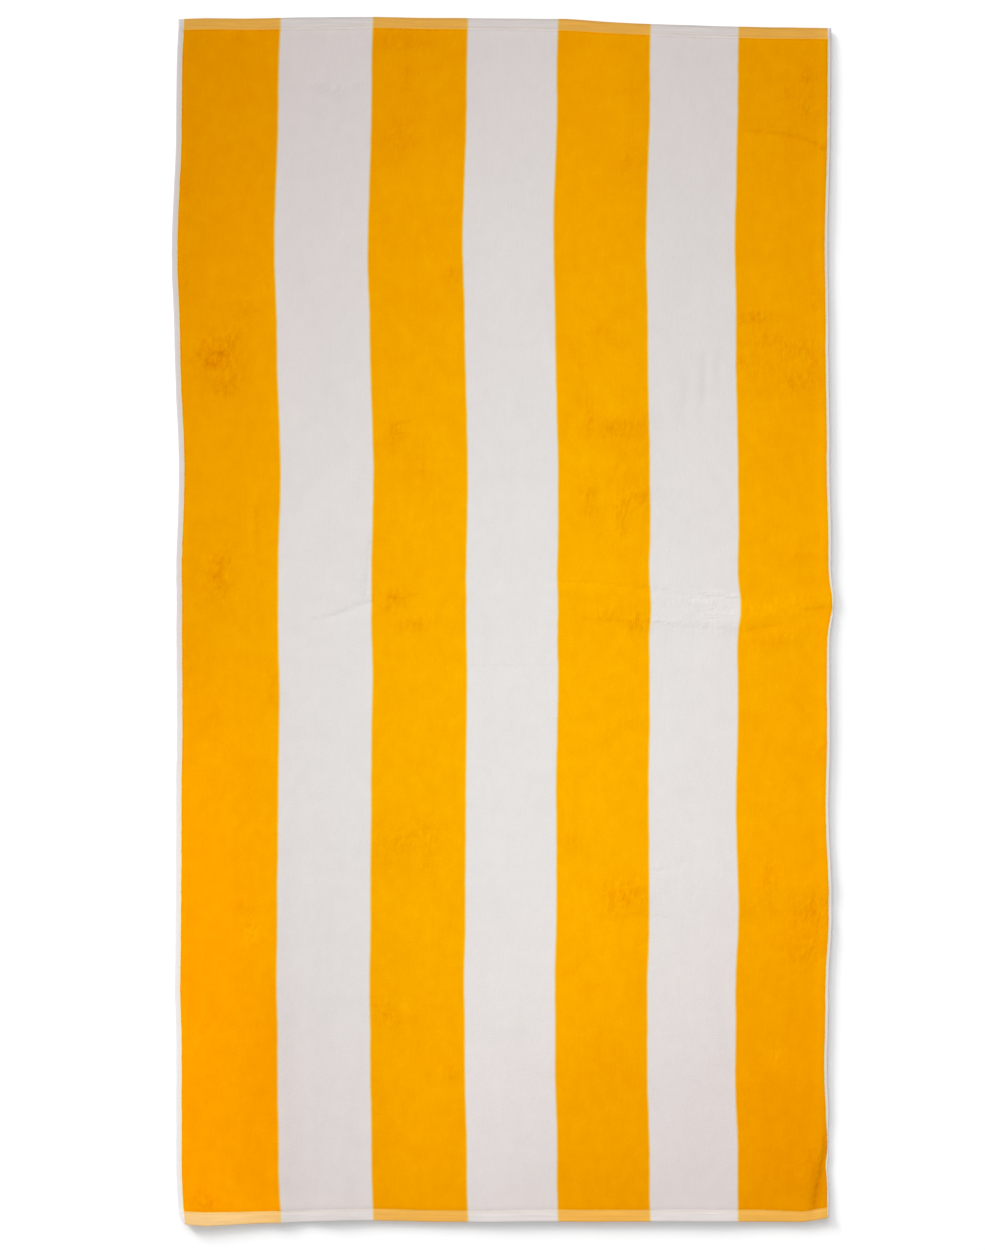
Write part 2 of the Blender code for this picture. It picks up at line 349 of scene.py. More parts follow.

# Fine creases in the pile, only a few millimetres wide: a bump, and painted shade along each. A negative
# depth is a ridge, painted lighter as a painted highlight.
FINE_CREASES = np.array([
    # from across, along, to across, along, depth
    (186, 2, 203, 3, 0.6),  # the slanting crease in the first white stripe
    (207, 5, 226, 12, 0.9),
    (226, 12, 244, 19, 0.6),
    (240, 21, 257, 24, 1.0),
    (250, 27, 254, 62, 0.8),  # the steep one that meets it
    (254, 62, 258, 108, 0.6),
    (506, 52, 560, 50, 0.5),  # middle fold, its upper line
    (560, 50, 618, 44, 0.5),
    (618, 44, 652, 40, 1.0),
    (636, 38, 690, 34, 0.7),
    (690, 34, 750, 30, 0.5),
    (540, 2, 650, -4, 0.5),  # and its lower line
    (640, -6, 690, -10, 0.8),
    (690, -10, 750, -13, 0.6),
    (754, -14, 800, -6, 0.6),
    (635, 0, 665, -2, -0.9),  # short bright scratches across it
    (684, 24, 706, 25, -0.8),
    (702, 39, 724, 38, -0.8),
    (726, 32, 748, 33, -0.7),
    (704, 10, 738, 9, -0.8),
    (692, 1, 712, -2, -0.6),
    (836, 14, 870, 19, 0.9),
    (388, -61, 505, -61, 0.3),  # faint line across the second white
    (766, 659, 800, 656, 0.9),  # bowed crease near the head, at the right
    (800, 656, 830, 652, 1.2),
    (830, 652, 853, 644, 1.5),
    (853, 644, 870, 632, 1.7),
    (638, -333, 654, -331, 0.5),  # little arcs above the foot
    (676, -322, 690, -324, 0.5),
    (640, -394, 652, -395, 0.4),
    # painted shade in the curled corner, drawn as fine creases
    (850, -780, 853, -758, 1.1),  # the curled corner's own dark streak
    (853, -758, 862, -728, 1.1),
    (862, -728, 863, -690, 0.8),
    (286, 257, 311, 265, 0.6),  # a hook in the second yellow
    (286, 257, 288, 226, 0.8),
    (106, 146, 108, 98, 1.0),  # short line in the first yellow
    (78, 420, 112, 424, 0.5),  # short pushes in the first yellow
    (272, 36, 300, 28, 0.8),  # and in the second
    (300, 28, 322, 34, 0.6),
])
# How far away a fine crease is still told, between which distances it fades, and how softly it ends.
CREASE_REACH = 30 * MM
CREASE_FADE = (9 * MM, 14 * MM)
CREASE_END = 6 * MM


def stripe_edges(cloth):
    """Places of the stripes' edges across the cloth: each stripe is a little narrower than the last."""
    widths = cloth.first_stripe + cloth.stripe_change * np.arange(STRIPE_COUNT)
    return cloth.left_selvedge + np.concatenate([[0.0], np.cumsum(widths)])


def cloth_width(cloth):
    """Width of the stripes and of both selvedges together."""
    return stripe_edges(cloth)[-1] + cloth.right_selvedge


def bell(distance):
    """exp(-d^2): a smooth hump, 1 at 0 and near 0 past 2."""
    return np.exp(-distance**2)


def bells_at(table, across, along):
    """The sum of a table's rows, each `strength * bell` of the distance from its centre in its own reaches.

    A row may have a turn in degrees before its strength, and its reaches are then turned anticlockwise by it.
    """
    height = np.zeros_like(across)
    for centre_across, centre_along, reach_across, reach_along, *turn, strength in table:
        right, up = across / MM - centre_across, along / MM - centre_along
        cosine = np.cos(np.radians(sum(turn)))
        sine = np.sin(np.radians(sum(turn)))
        by_width = (right * cosine + up * sine) / reach_across
        by_length = (up * cosine - right * sine) / reach_along
        height += strength * bell(np.hypot(by_width, by_length))
    return height


def plane_waves(across, along, seed, shortest, longest, height):
    """The sum of sine waves of chance heading, length and phase, whose root mean square is `height`."""
    chance = np.random.default_rng(seed)
    heading = chance.uniform(0, np.pi, WAVE_COUNT)
    turn = 2 * np.pi / chance.uniform(shortest, longest, WAVE_COUNT)
    phase = chance.uniform(0, 2 * np.pi, WAVE_COUNT)
    waves = np.zeros_like(across)
    for k in range(WAVE_COUNT):
        waves += np.sin(turn[k] * (across * np.cos(heading[k]) + along * np.sin(heading[k])) + phase[k])
    return height * np.sqrt(2 / WAVE_COUNT) * waves


def read(table, place, column=1):
    """A column of a table of millimetres, straight between its rows, at places along its first column."""
    return np.interp(place, table[:, 0] * MM, table[:, column] * MM)


def plan(cloth, across, along):
    """Where a point of the cloth lies, seen from above: its own place, plus drift, end edges and corners."""
    half_length = cloth.length / 2
    share = across / cloth_width(cloth)
    x = across + plane_waves(across, along, *SIDEWAYS_WAVES) + plane_waves(across, along, *SIDEWAYS_RIPPLES)
    # Each drift goes straight from its left to its right value, plus a parabola for the extra in the middle.
    for station, reach, left, right, middle in SIDE_DRIFT * MM:
        sideways = left + (right - left) * share + middle * 4 * share * (1 - share)
        x += bell((along - station) / reach) * sideways

    # The hems keep their own depth, and the pile beside them takes up the difference.
    from_end = half_length - np.abs(along)
    hem = np.where(along > 0, read(END_EDGES, across, HEAD_HEM), read(END_EDGES, across, FOOT_HEM))
    shift = (hem - cloth.hem) * np.interp(from_end, [0, cloth.hem, 4 * cloth.hem], [0, 1, 0])
    stray = np.where(along > 0, read(END_EDGES, across, HEAD_EDGE), read(END_EDGES, across, FOOT_EDGE))
    y = along - np.sign(along) * shift + stray * np.abs(along) / half_length
    y += plane_waves(across, along, *LENGTHWISE_WAVES)

    hidden = np.zeros_like(along)
    for station, reach, share_hidden in TUCKS:
        hidden = np.maximum(hidden, share_hidden * bell((along / MM - station) / reach))
    past_pile = across - stripe_edges(cloth)[-1]
    beside = np.clip(1 + past_pile / TUCK_REACH, 0, 1)
    x += hidden * (beside * TUCK_PULL - np.maximum(past_pile, 0))

    for corner_across, corner_along, right, up, reach_across, reach_along in DRAWN_CORNERS * MM:
        near = bell(np.hypot((across - corner_across) / reach_across, (along - corner_along) / reach_along))
        x += near * right
        y += near * up
    return x, y


def middle_of_box(cloth):
    """The middle of the outline's box, which lies over the frame's origin."""
    width = cloth_width(cloth)
    half_length = cloth.length / 2
    across = np.linspace(0, width, OUTLINE_SAMPLES)
    along = np.linspace(-half_length, half_length, OUTLINE_SAMPLES)
    side_x, _ = plan(cloth, np.concatenate([0 * along, 0 * along + width]), np.tile(along, 2))
    _, end_y = plan(cloth, np.tile(across, 2), np.repeat([-half_length, half_length], OUTLINE_SAMPLES))
    return (side_x.min() + side_x.max()) / 2, (end_y.min() + end_y.max()) / 2


def beside_run(across, along, start_across, start_along, end_across, end_along):
    """(aside, past): how far a point lies to the left of a straight run, and how far past its nearer end."""
    run = np.array([end_across - start_across, end_along - start_along])
    length = np.hypot(*run)
    ahead = ((across - start_across) * run[0] + (along - start_along) * run[1]) / length
    aside = ((along - start_along) * run[0] - (across - start_across) * run[1]) / length
    return aside, np.maximum(np.maximum(-ahead, ahead - length), 0)


def crease_height(across, along, crease):
    """height * exp(-(aside / half-width)^2) along a straight run, which dies away past both ends."""
    *ends, height, half_width = crease * MM
    aside, past = beside_run(across, along, *ends)
    return height * bell(aside / half_width) * bell(past / (2 * half_width))


def relief(across, along):
    """(rise, pressed): how far the whole cloth stands off the floor, and how far its pile is pushed in."""
    rise = np.zeros_like(across)
    pressed = np.zeros_like(across)
    for crease in CREASES:
        height = crease_height(across, along, crease)
        rise += np.maximum(height, 0)
        pressed += np.maximum(-height, 0)
    rise += bells_at(LIFTS, across, along) * MM
    return np.maximum(rise - CLINGING, 0), pressed


def thickness(cloth, across, along):
    """The lower of the end profile and the side profile, so that a hem runs out to the towel's corners."""
    width = cloth_width(cloth)
    from_end = cloth.length / 2 - np.abs(along)
    from_side = np.minimum(across, width - across)
    selvedge = np.where(across < width / 2, cloth.left_selvedge, cloth.right_selvedge)
    hem_end = read(HEM_END_PROFILE, from_side)
    by_side = np.where(from_end < cloth.hem, hem_end, read(SELVEDGE_PROFILE, from_side - selvedge))
    return np.minimum(read(HEM_PROFILE, from_end), by_side)


def towel_surface(cloth, across, along):
    """Points of the cloth's face and of its back, for any places on the cloth.

    The back lies at the rise. The face lies above it by the thickness, less what is pressed in, plus waves.
    """
    x, y = plan(cloth, across, along)
    middle_x, middle_y = middle_of_box(cloth)
    rise, pressed = relief(across, along)
    uneven = plane_waves(across, along, *RISING_WAVES)
    top = rise + thickness(cloth, across, along) - pressed + uneven
    face = np.stack([x - middle_x, y - middle_y, top], axis=-1)
    back = face.copy()
    back[..., 2] = rise
    return face, back


# ---------------------------------------------------------------------------------------------------------
# Meshes

# Steps of the cloth's grid, finer over the middle fold, and how far its rim bulges out.
CELLS_PER_STRIPE = 25
PLAIN_STEP = 7.4 * MM
FOLD_STEP = 3.0 * MM
FOLD_HALF_WIDTH = 66 * MM
LEAST_STEP = 0.25 * MM
RIM_BULGE = 0.20 * MM

# The cloth's materials, in the order in which its operator adds them.
PILE, BAND, SELVEDGE, LOOPS = range(4)

# Tufts on the pile's border. Each starts inside the pile, leans outward by some degrees and sways sideways.
TUFT_PITCH = 1.2 * MM
TUFT_STRAY = 0.35 * TUFT_PITCH
TUFT_INSET = (0.9 * MM, 2.2 * MM)
TUFT_ROOT = 1.3 * MM
TUFT_LEAN = (18, 50)
TUFT_SWAY = 0.30
TUFT_LENGTH = 1.8 * MM
TUFT_RADIUS = 0.55 * MM
TUFT_VARIETY = (0.85, 1.2)
TUFT_PROFILE = np.array([
    # share of the length, share of the radius
    (0.0, 0.7), (0.55, 1.0), (0.88, 0.8), (1.0, 0.2),
])
TUFT_SIDES = 5
TUFT_SEED = 5

# Stitches. A thread's middle stands above the cloth by a share of its radius, and its ends dip in.
STITCH_PITCH = 3.0 * MM
STITCH_LENGTH = 2.7 * MM
STITCH_STRAY = 0.12 * MM
STITCH_SLANT = 0.15 * MM
STITCH_STATIONS = 9
STITCH_SEED = 7
THREAD_RADIUS = 0.16 * MM
THREAD_STAND = 0.75
THREAD_DIP = 1.5
THREAD_SIDES = 6

# Painted shade: the pile is painted yellowest a little below the towel's middle, in an oval that reaches
# further to the head than to the foot. Its long axis slants to the right towards the head, and crosses the
# middle line at `AXIS_ACROSS`.
YELLOWEST_ALONG = -106 * MM
AXIS_ACROSS = 460 * MM
AXIS_SLANT = 0.157
YELLOW_ASIDE = 570 * MM
YELLOW_TO_HEAD = 1000 * MM
YELLOW_TO_FOOT = 680 * MM

# The painted highlight beside the left selvedge widens and brightens to the foot: places along, and the
# values there.
GLOW_ACROSS = 20 * MM
GLOW_REACH = 105 * MM
GLOW_WIDENING = ((-0.80, -0.60), (20 * MM, 0.0))
GLOW_STRENGTH = ((-0.80, -0.35, 0.02), (1.0, 0.75, 0.0))

# The hems' painted shading: a painted highlight along each seam, and painted shade at the fold of the head's
# hem.
SEAM_FROM_END = 14.2 * MM
SEAM_GLEAM = 0.04
PRESSED_SHADE = 0.28
HEM_LINE_WIDTH = 1.6 * MM

FLUFF_REACH = 1.8 * MM


def grid_lines(*parts):
    """Lines from several lists in order, without any that lies too close to the one before it."""
    lines = np.unique(np.concatenate(parts).round(6))
    return lines[np.append(True, np.diff(lines) > LEAST_STEP)]


def across_lines(cloth):
    """Grid lines across the cloth, with one on every stripe's edge and more beside the selvedges."""
    edges = stripe_edges(cloth)
    width = cloth_width(cloth)
    left = edges[0] + SELVEDGE_PROFILE[:, 0] * MM
    right = edges[-1] - SELVEDGE_PROFILE[:, 0] * MM
    stripes = np.linspace(edges[:-1], edges[1:], CELLS_PER_STRIPE + 1).ravel()
    return grid_lines([0.0, width], left[left > 0], right[right < width], stripes)


def along_lines(cloth):
    """Grid lines along the cloth, closer together in the hems and over the middle fold."""
    hem_lines = cloth.length / 2 - HEM_PROFILE[::-1, 0] * MM
    low, high = FOLD_HALF_WIDTH, hem_lines[0]
    plain = np.linspace(low, high, round((high - low) / PLAIN_STEP) + 1)
    fold = np.linspace(-low, low, round(2 * low / FOLD_STEP) + 1)
    return grid_lines(-hem_lines, -plain, fold, plain, hem_lines)


def fine_creases_at(across, along):
    """(aside, depth): signed distance to the nearest fine crease, and its depth, fading past its ends."""
    aside = np.full_like(across, CREASE_REACH)
    nearest = aside.copy()
    depth = np.zeros_like(across)
    for *ends, crease_depth in FINE_CREASES:
        sideways, past = beside_run(across, along, *np.multiply(ends, MM))
        distance = np.hypot(sideways, past)
        closer = distance < nearest
        nearest[closer] = distance[closer]
        aside[closer] = sideways[closer]
        near = np.interp(distance[closer], CREASE_FADE, [1, 0])
        depth[closer] = crease_depth * bell(past[closer] / CREASE_END) * near
    return aside, depth


def painted_shade_tint_at(across, along):
    """Painted shade tint, more orange away from the yellowest place: 1 - bell of that distance, plus ORANGE.
    """
    ahead = along - YELLOWEST_ALONG
    aside = across - AXIS_ACROSS - AXIS_SLANT * along
    reach = np.where(ahead > 0, YELLOW_TO_HEAD, YELLOW_TO_FOOT)
    plain = 1 - bell(np.hypot(aside / YELLOW_ASIDE, ahead / reach))
    return np.clip(plain + bells_at(ORANGE, across, along), 0, 1)


def painted_highlight_at(across, along):
    """Painted highlight beside the left selvedge above the foot: how much brighter the cloth is painted
    there.
    """
    widening = np.interp(along, *GLOW_WIDENING)
    aside = (across - GLOW_ACROSS - widening) / (GLOW_REACH + widening)
    return bell(aside) * np.interp(along, *GLOW_STRENGTH)


def hem_shade_at(cloth, along):
    """Painted shade at the fold of the head hem, and a painted highlight along each seam."""
    from_head = cloth.length / 2 - along
    from_end = cloth.length / 2 - np.abs(along)
    seam = SEAM_GLEAM * bell((from_end - SEAM_FROM_END) / HEM_LINE_WIDTH)
    return seam - PRESSED_SHADE * bell(from_head / HEM_LINE_WIDTH)


def fluff_at(cloth, across, along):
    """How much dyed fluff lies on the hems and selvedges: most beside the pile, and none past about 3 mm."""
    edges = stripe_edges(cloth)
    past_side = np.maximum(edges[0] - across, across - edges[-1])
    past_end = np.abs(along) - (cloth.length / 2 - cloth.hem)
    return bell(np.maximum(np.maximum(past_side, past_end), 0) / FLUFF_REACH)


def cloth_facts(cloth, across, along):
    """What the materials read at each point: the stripe it is in, how the pile lies there, and its painted
    light and shade.
    """
    aside, depth = fine_creases_at(across, along)
    return {
        "stripe": np.interp(across, stripe_edges(cloth), np.arange(STRIPE_COUNT + 1)),
        "crease_aside": aside,
        "crease_depth": depth,
        "brushed": np.clip(bells_at(BRUSHED, across, along), *BRUSHED_LIMITS),
        "painted_shade_tint": painted_shade_tint_at(across, along),
        "painted_highlight": painted_highlight_at(across, along),
        "painted_light_and_shade": bells_at(PAINTED_LIGHT_AND_SHADE, across, along),
        "hem_shade": hem_shade_at(cloth, along),
        "fluff": fluff_at(cloth, across, along),
    }


def make_piece(name, points, faces, places, cloth):
    """An object from points, faces and its points' places on the cloth, with what the materials read."""
    mesh = bpy.data.meshes.new(name)
    mesh.from_pydata(points.tolist(), [], faces)
    across, along = (np.ravel(place) for place in places)
    for fact_name, values in cloth_facts(cloth, across, along).items():
        stored = mesh.attributes.new(fact_name, "FLOAT", "POINT")
        stored.data.foreach_set("value", values.astype(np.float32))
    corners = np.empty(len(mesh.loops), np.int32)
    mesh.loops.foreach_get("vertex_index", corners)
    by_point = np.stack([across, along + cloth.length / 2], axis=-1)
    layer = mesh.uv_layers.new(name="cloth")
    layer.uv.foreach_set("vector", by_point[corners].astype(np.float32).ravel())
    mesh.shade_smooth()
    mesh.update()
    piece = bpy.data.objects.new(name, mesh)
    bpy.context.scene.collection.objects.link(piece)
    return piece


def rods(centres, radii, first, second, sides):
    """Closed rods: rings of radius * (cos(turn) * first + sin(turn) * second), and a face over each end."""
    turn = np.linspace(0, 2 * np.pi, sides, endpoint=False)[:, None]
    ring = np.cos(turn) * first[:, None, None, :] + np.sin(turn) * second[:, None, None, :]
    points = centres[:, :, None, :] + radii[:, :, None, None] * ring
    index = np.arange(radii.size * sides).reshape(*radii.shape, sides)
    beside = np.roll(index, -1, axis=2)
    walls = np.stack([index[:, :-1], beside[:, :-1], beside[:, 1:], index[:, 1:]], axis=-1).reshape(-1, 4)
    ends = np.concatenate([index[:, 0, ::-1], index[:, -1]])
    return points.reshape(-1, 3), walls.tolist() + ends.tolist()


def grid_faces(columns, rows, first=0):
    """Quads of a grid of points, turned to face up."""
    grid = first + np.arange(columns * rows).reshape(columns, rows)
    return np.stack([grid[:-1, :-1], grid[1:, :-1], grid[1:, 1:], grid[:-1, 1:]], axis=-1)


def build_cloth(cloth):
    """The closed sheet: face and back grids, joined all round by a rim that bulges out a little."""
    across, along = np.meshgrid(across_lines(cloth), along_lines(cloth), indexing="ij")
    columns, rows = across.shape
    face, back = towel_surface(cloth, across, along)
    face, back = face.reshape(-1, 3), back.reshape(-1, 3)
    count = len(face)

    grid = np.arange(count).reshape(columns, rows)
    ring = np.concatenate([grid[:-1, 0], grid[-1, :-1], grid[:0:-1, -1], grid[0, :0:-1]])
    ahead = np.roll(face[ring], -1, axis=0) - np.roll(face[ring], 1, axis=0)
    outward = np.stack([ahead[:, 1], -ahead[:, 0], 0 * ahead[:, 0]], axis=-1)
    outward /= np.linalg.norm(outward, axis=1, keepdims=True)
    bulge = (face[ring] + back[ring]) / 2 + RIM_BULGE * outward

    middle = 2 * count + np.arange(len(ring))
    strips = [
        np.stack([high, low, np.roll(low, -1), np.roll(high, -1)], axis=-1)
        for high, low in ((ring, middle), (middle, ring + count))
    ]
    up = grid_faces(columns, rows).reshape(-1, 4)
    down = grid_faces(columns, rows, count)[..., ::-1].reshape(-1, 4)
    faces = np.concatenate([up, down, *strips]).tolist()

    everywhere = np.concatenate([np.arange(count), np.arange(count), ring])
    places = across.ravel()[everywhere], along.ravel()[everywhere]
    piece = make_piece("towel_cloth", np.concatenate([face, back, bulge]), faces, places, cloth)

    middle_across = (across[1:, 1:] + across[:-1, :-1]) / 2
    middle_along = (along[1:, 1:] + along[:-1, :-1]) / 2
    edges = stripe_edges(cloth)
    in_hem = cloth.length / 2 - np.abs(middle_along) < cloth.hem
    in_selvedge = (middle_across < edges[0]) | (middle_across > edges[-1])
    zone = np.where(in_selvedge, SELVEDGE, np.where(in_hem, BAND, PILE)).ravel()
    under = np.where(zone == PILE, LOOPS, zone)
    rim = np.repeat([BAND, SELVEDGE, BAND, SELVEDGE], [columns - 1, rows - 1, columns - 1, rows - 1])
    zones = np.concatenate([zone, under, rim, rim]).astype(np.int32)
    piece.data.polygons.foreach_set("material_index", zones)
    return piece


def build_tufts(cloth):
    """Tufts along the pile's border: short rods that lean out over the hems and selvedges."""
    chance = np.random.default_rng(TUFT_SEED)
    edges = stripe_edges(cloth)
    side = cloth.length / 2 - cloth.hem
    wide = np.arange(edges[0], edges[-1], TUFT_PITCH)
    tall = np.arange(-side, side, TUFT_PITCH)
    across = np.concatenate([wide, wide, 0 * tall + edges[0], 0 * tall + edges[-1]])
    along = np.concatenate([0 * wide - side, 0 * wide + side, tall, tall])
    ways = ((0.0, -1.0), (0.0, 1.0), (-1.0, 0.0), (1.0, 0.0))
    outward = np.repeat(ways, (len(wide), len(wide), len(tall), len(tall)), axis=0)
    count = len(across)

    inset = chance.uniform(*TUFT_INSET, count)
    stray = chance.uniform(-TUFT_STRAY, TUFT_STRAY, count)
    across = across - inset * outward[:, 0] + stray * outward[:, 1]
    along = along - inset * outward[:, 1] + stray * outward[:, 0]
    foot, _ = towel_surface(cloth, across, along)
    foot[:, 2] -= TUFT_ROOT

    lean = np.radians(chance.uniform(*TUFT_LEAN, count))[:, None]
    sway = chance.uniform(-TUFT_SWAY, TUFT_SWAY, count)[:, None]
    beside = np.stack([-outward[:, 1], outward[:, 0]], axis=-1)
    level = outward * np.sin(lean) + beside * sway
    axis = np.concatenate([level, np.cos(lean)], axis=-1)
    axis /= np.linalg.norm(axis, axis=1, keepdims=True)
    first = np.cross(axis, (0.0, 0.0, 1.0))
    first /= np.linalg.norm(first, axis=1, keepdims=True)
    second = np.cross(axis, first)

    length = TUFT_LENGTH * chance.uniform(*TUFT_VARIETY, count)
    radius = TUFT_RADIUS * chance.uniform(*TUFT_VARIETY, count)
    heights, widths = TUFT_PROFILE.T
    centres = foot[:, None, :] + axis[:, None, :] * (length[:, None] * heights)[..., None]
    points, faces = rods(centres, radius[:, None] * widths, first, second, TUFT_SIDES)
    each = points.shape[0] // count
    places = np.repeat(across, each), np.repeat(along, each)
    return make_piece("pile_rim_tufts", points, faces, places, cloth)


def build_stitching(cloth, name, end):
    """One hem's lockstitch: short rods laid end to end across the towel.

    Along a rod, from -1 to 1, its height falls off with `path^4`. Its radius is about `(1 - path^2)^0.3`, and
    stays above 0 at the ends.
    """
    chance = np.random.default_rng(STITCH_SEED)
    centre = np.arange(STITCH_PITCH, cloth_width(cloth) - STITCH_PITCH / 2, STITCH_PITCH)
    count = len(centre)
    path = np.linspace(-1, 1, STITCH_STATIONS)
    across = centre[:, None] + path * STITCH_LENGTH / 2
    row = STITCH_LINE + chance.uniform(-STITCH_STRAY, STITCH_STRAY, (count, 1))
    slant = chance.uniform(-STITCH_SLANT, STITCH_SLANT, (count, 1)) * path
    along = end * (cloth.length / 2 - row - slant)
    centres, _ = towel_surface(cloth, across, along)
    centres[..., 2] += THREAD_RADIUS * (THREAD_STAND - THREAD_DIP * path**4)
    radii = THREAD_RADIUS * (1.02 - path**2) ** 0.3 * np.ones((count, 1))
    sideways = np.array([[0.0, 1.0, 0.0]])
    upward = np.array([[0.0, 0.0, 1.0]])
    points, faces = rods(centres, radii, sideways, upward, THREAD_SIDES)
    places = np.repeat(across, THREAD_SIDES), np.repeat(along, THREAD_SIDES)
    return make_piece(name, points, faces, places, cloth)


# ---------------------------------------------------------------------------------------------------------
# Materials

# How fast the colour changes over a stripe's edge, and the share of white on the edge itself.
STRIPE_STEEPNESS = 10.5
WHITE_AT_EDGE = 0.29

# A fine crease's half-width, and how far its line wanders to either side.
CREASE_WIDTH = 3.2 * MM
CREASE_WANDER = 2.5 * MM

# What white cloth looks like through dyed fluff, and the tint of the dyed pile at a grazing angle.
FLUFF_TINT = "FFFCB4"
SHEEN_TINT = "FFB000"

# How strongly red, green and blue follow the pile's shade. Deep in the dyed pile light turns more orange, so
# green moves more than red. White pile hardly changes.
GOLDEN_RESPONSE = (0.38, 1.0, 1.0, 1.0)
WHITE_RESPONSE = (0.34, 0.34, 0.34, 1.0)

# The Mix node's sockets for colours.
MIX_FROM, MIX_TO, MIXED = 6, 7, 2


def linear(hex_colour):
    """A colour such as "F2A900" from sRGB to linear, with alpha 1."""
    value = np.array([int(hex_colour[k:k + 2], 16) / 255 for k in (0, 2, 4)])
    turned = np.where(value <= 0.04045, value / 12.92, ((value + 0.055) / 1.055) ** 2.4)
    return (*turned.tolist(), 1.0)


def new_material(name):
    """An empty node material with a Principled shader on its output."""
    material = bpy.data.materials.new(name)
    material.use_nodes = True
    tree = material.node_tree
    tree.nodes.clear()
    shader = tree.nodes.new("ShaderNodeBsdfPrincipled")
    output = tree.nodes.new("ShaderNodeOutputMaterial")
    tree.links.new(shader.outputs["BSDF"], output.inputs["Surface"])
    return material, tree, shader


def feed(tree, node, inputs):
    """Sets inputs of a node: each a value, another node's output, or the name of one of the cloth's facts."""
    for name, value in inputs.items():
        if isinstance(value, str):
            value = add(tree, "Attribute", output="Fac", attribute_name=value)
        if isinstance(value, bpy.types.NodeSocket):
            tree.links.new(value, node.inputs[name])
        else:
            node.inputs[name].default_value = value


def add(tree, kind, inputs=None, output=0, **settings):
    """Adds a node of a kind with its settings and inputs, and gives one of its outputs."""
    node = tree.nodes.new("ShaderNode" + kind)
    for name, value in settings.items():
        setattr(node, name, value)
    feed(tree, node, inputs or {})
    return node.outputs[output]


def stretched(tree, width, length):
    """Cloth coordinates counted in features of that width and length."""
    place = add(tree, "UVMap", uv_map="cloth")
    return add(tree, "VectorMath", {0: place, 1: (1 / width, 1 / length, 1.0)}, operation="MULTIPLY")


def cloudy(tree, width, length, detail, low=0.0, high=1.0):
    """Chance values from `low` to `high`, in clouds of that width and length on the cloth."""
    place = stretched(tree, width, length)
    noise = add(tree, "TexNoise", {"Vector": place, "Scale": 1.0, "Detail": detail})
    return add(tree, "Math", {0: noise, 1: high - low, 2: low}, operation="MULTIPLY_ADD")


def weighted_sum(tree, start, *parts):
    """`start` plus every part, each a value and its weight."""
    for value, weight in parts:
        start = add(tree, "Math", {0: value, 1: weight, 2: start}, operation="MULTIPLY_ADD")
    return start


def shifted(tree, colour, *changes):
    """A colour moved towards others in turn, each given with the share from 0 to 1 that it takes."""
    for share, other in changes:
        colour = add(tree, "Mix", {0: share, MIX_FROM: colour, MIX_TO: other}, MIXED, data_type="RGBA")
    return colour


def white_share(tree, raggedness):
    """1 in white stripes and 0 in golden ones: sin(pi * stripe), steepened until it changes over 3 mm."""
    strayed = cloudy(tree, 1.3 * MM, 2.2 * MM, 1.0, -raggedness / 2, raggedness / 2)
    angle = weighted_sum(tree, 0.0, ("stripe", np.pi), (strayed, np.pi))
    wave = add(tree, "Math", {0: angle}, operation="SINE")
    steep = {0: wave, 1: -STRIPE_STEEPNESS, 2: WHITE_AT_EDGE}
    return add(tree, "Math", steep, operation="MULTIPLY_ADD", use_clamp=True)


def striped(tree, white, golden, pale):
    """The stripes' colours by the share of white, squared for blue, which dyed fibres take out first."""
    squared = add(tree, "Math", {0: white, 1: white}, operation="MULTIPLY")
    shares = add(tree, "CombineXYZ", {0: white, 1: white, 2: squared})
    apart = add(tree, "VectorMath", {0: pale, 1: golden}, operation="SUBTRACT")
    return add(tree, "VectorMath", {0: apart, 1: shares, 2: golden}, operation="MULTIPLY_ADD")


def fluffed(tree, colour):
    """A hem's or a selvedge's colour through the dyed fluff that strays over it from the pile."""
    tint = shifted(tree, (1.0, 1.0, 1.0, 1.0), ("fluff", linear(FLUFF_TINT)))
    return add(tree, "VectorMath", {0: colour, 1: tint}, operation="MULTIPLY")


def crease_line(tree):
    """A fine crease: its depth times exp(-(aside / width)^2), along a line that wanders and breaks."""
    stray = CREASE_WANDER / CREASE_WIDTH
    wander = cloudy(tree, 9 * MM, 9 * MM, 2.0, -stray, stray)
    aside = weighted_sum(tree, wander, ("crease_aside", 1 / CREASE_WIDTH))
    squared = add(tree, "Math", {0: aside, 1: aside}, operation="MULTIPLY")
    near = add(tree, "Math", {0: 1 / np.e, 1: squared}, operation="POWER")
    chance = cloudy(tree, 10 * MM, 10 * MM, 2.0)
    broken = add(tree, "MapRange", {"Value": chance, "From Min": 0.38, "From Max": 0.58, "To Min": 0.35})
    depth = add(tree, "Math", {0: broken, 1: "crease_depth"}, operation="MULTIPLY")
    return add(tree, "Math", {0: near, 1: depth}, operation="MULTIPLY")


def pile_shade(tree, creases):
    """How much lighter or darker the pile is: the ragged patches that a hand brushed, painted shade in the
    creases, and chance.
    """
    chance = cloudy(tree, 8 * MM, 14 * MM, 4.0)
    ragged = add(tree, "MapRange", {"Value": chance, "From Min": 0.38, "From Max": 0.62, "To Min": 0.15})
    patches = add(tree, "Math", {0: "brushed", 1: ragged}, operation="MULTIPLY")
    clouds = cloudy(tree, 60 * MM, 75 * MM, 2.0, -0.07, 0.07)
    blotches = cloudy(tree, 15 * MM, 20 * MM, 3.0, -0.10, 0.10)
    streaks = cloudy(tree, 4 * MM, 40 * MM, 2.0, -0.03, 0.03)
    # Single tufts are drawn about twice as coarse as real ones, so that they show.
    tufts = cloudy(tree, 2.0 * MM, 2.8 * MM, 2.0, -0.08, 0.08)
    # Painted shade along the fine creases, and painted highlight on the ridges among them.
    pressed = weighted_sum(tree, 0.0, (patches, -0.18), (creases, -0.09))
    return weighted_sum(tree, pressed, (clouds, 1.0), (blotches, 1.0), (streaks, 1.0), (tufts, 1.0))


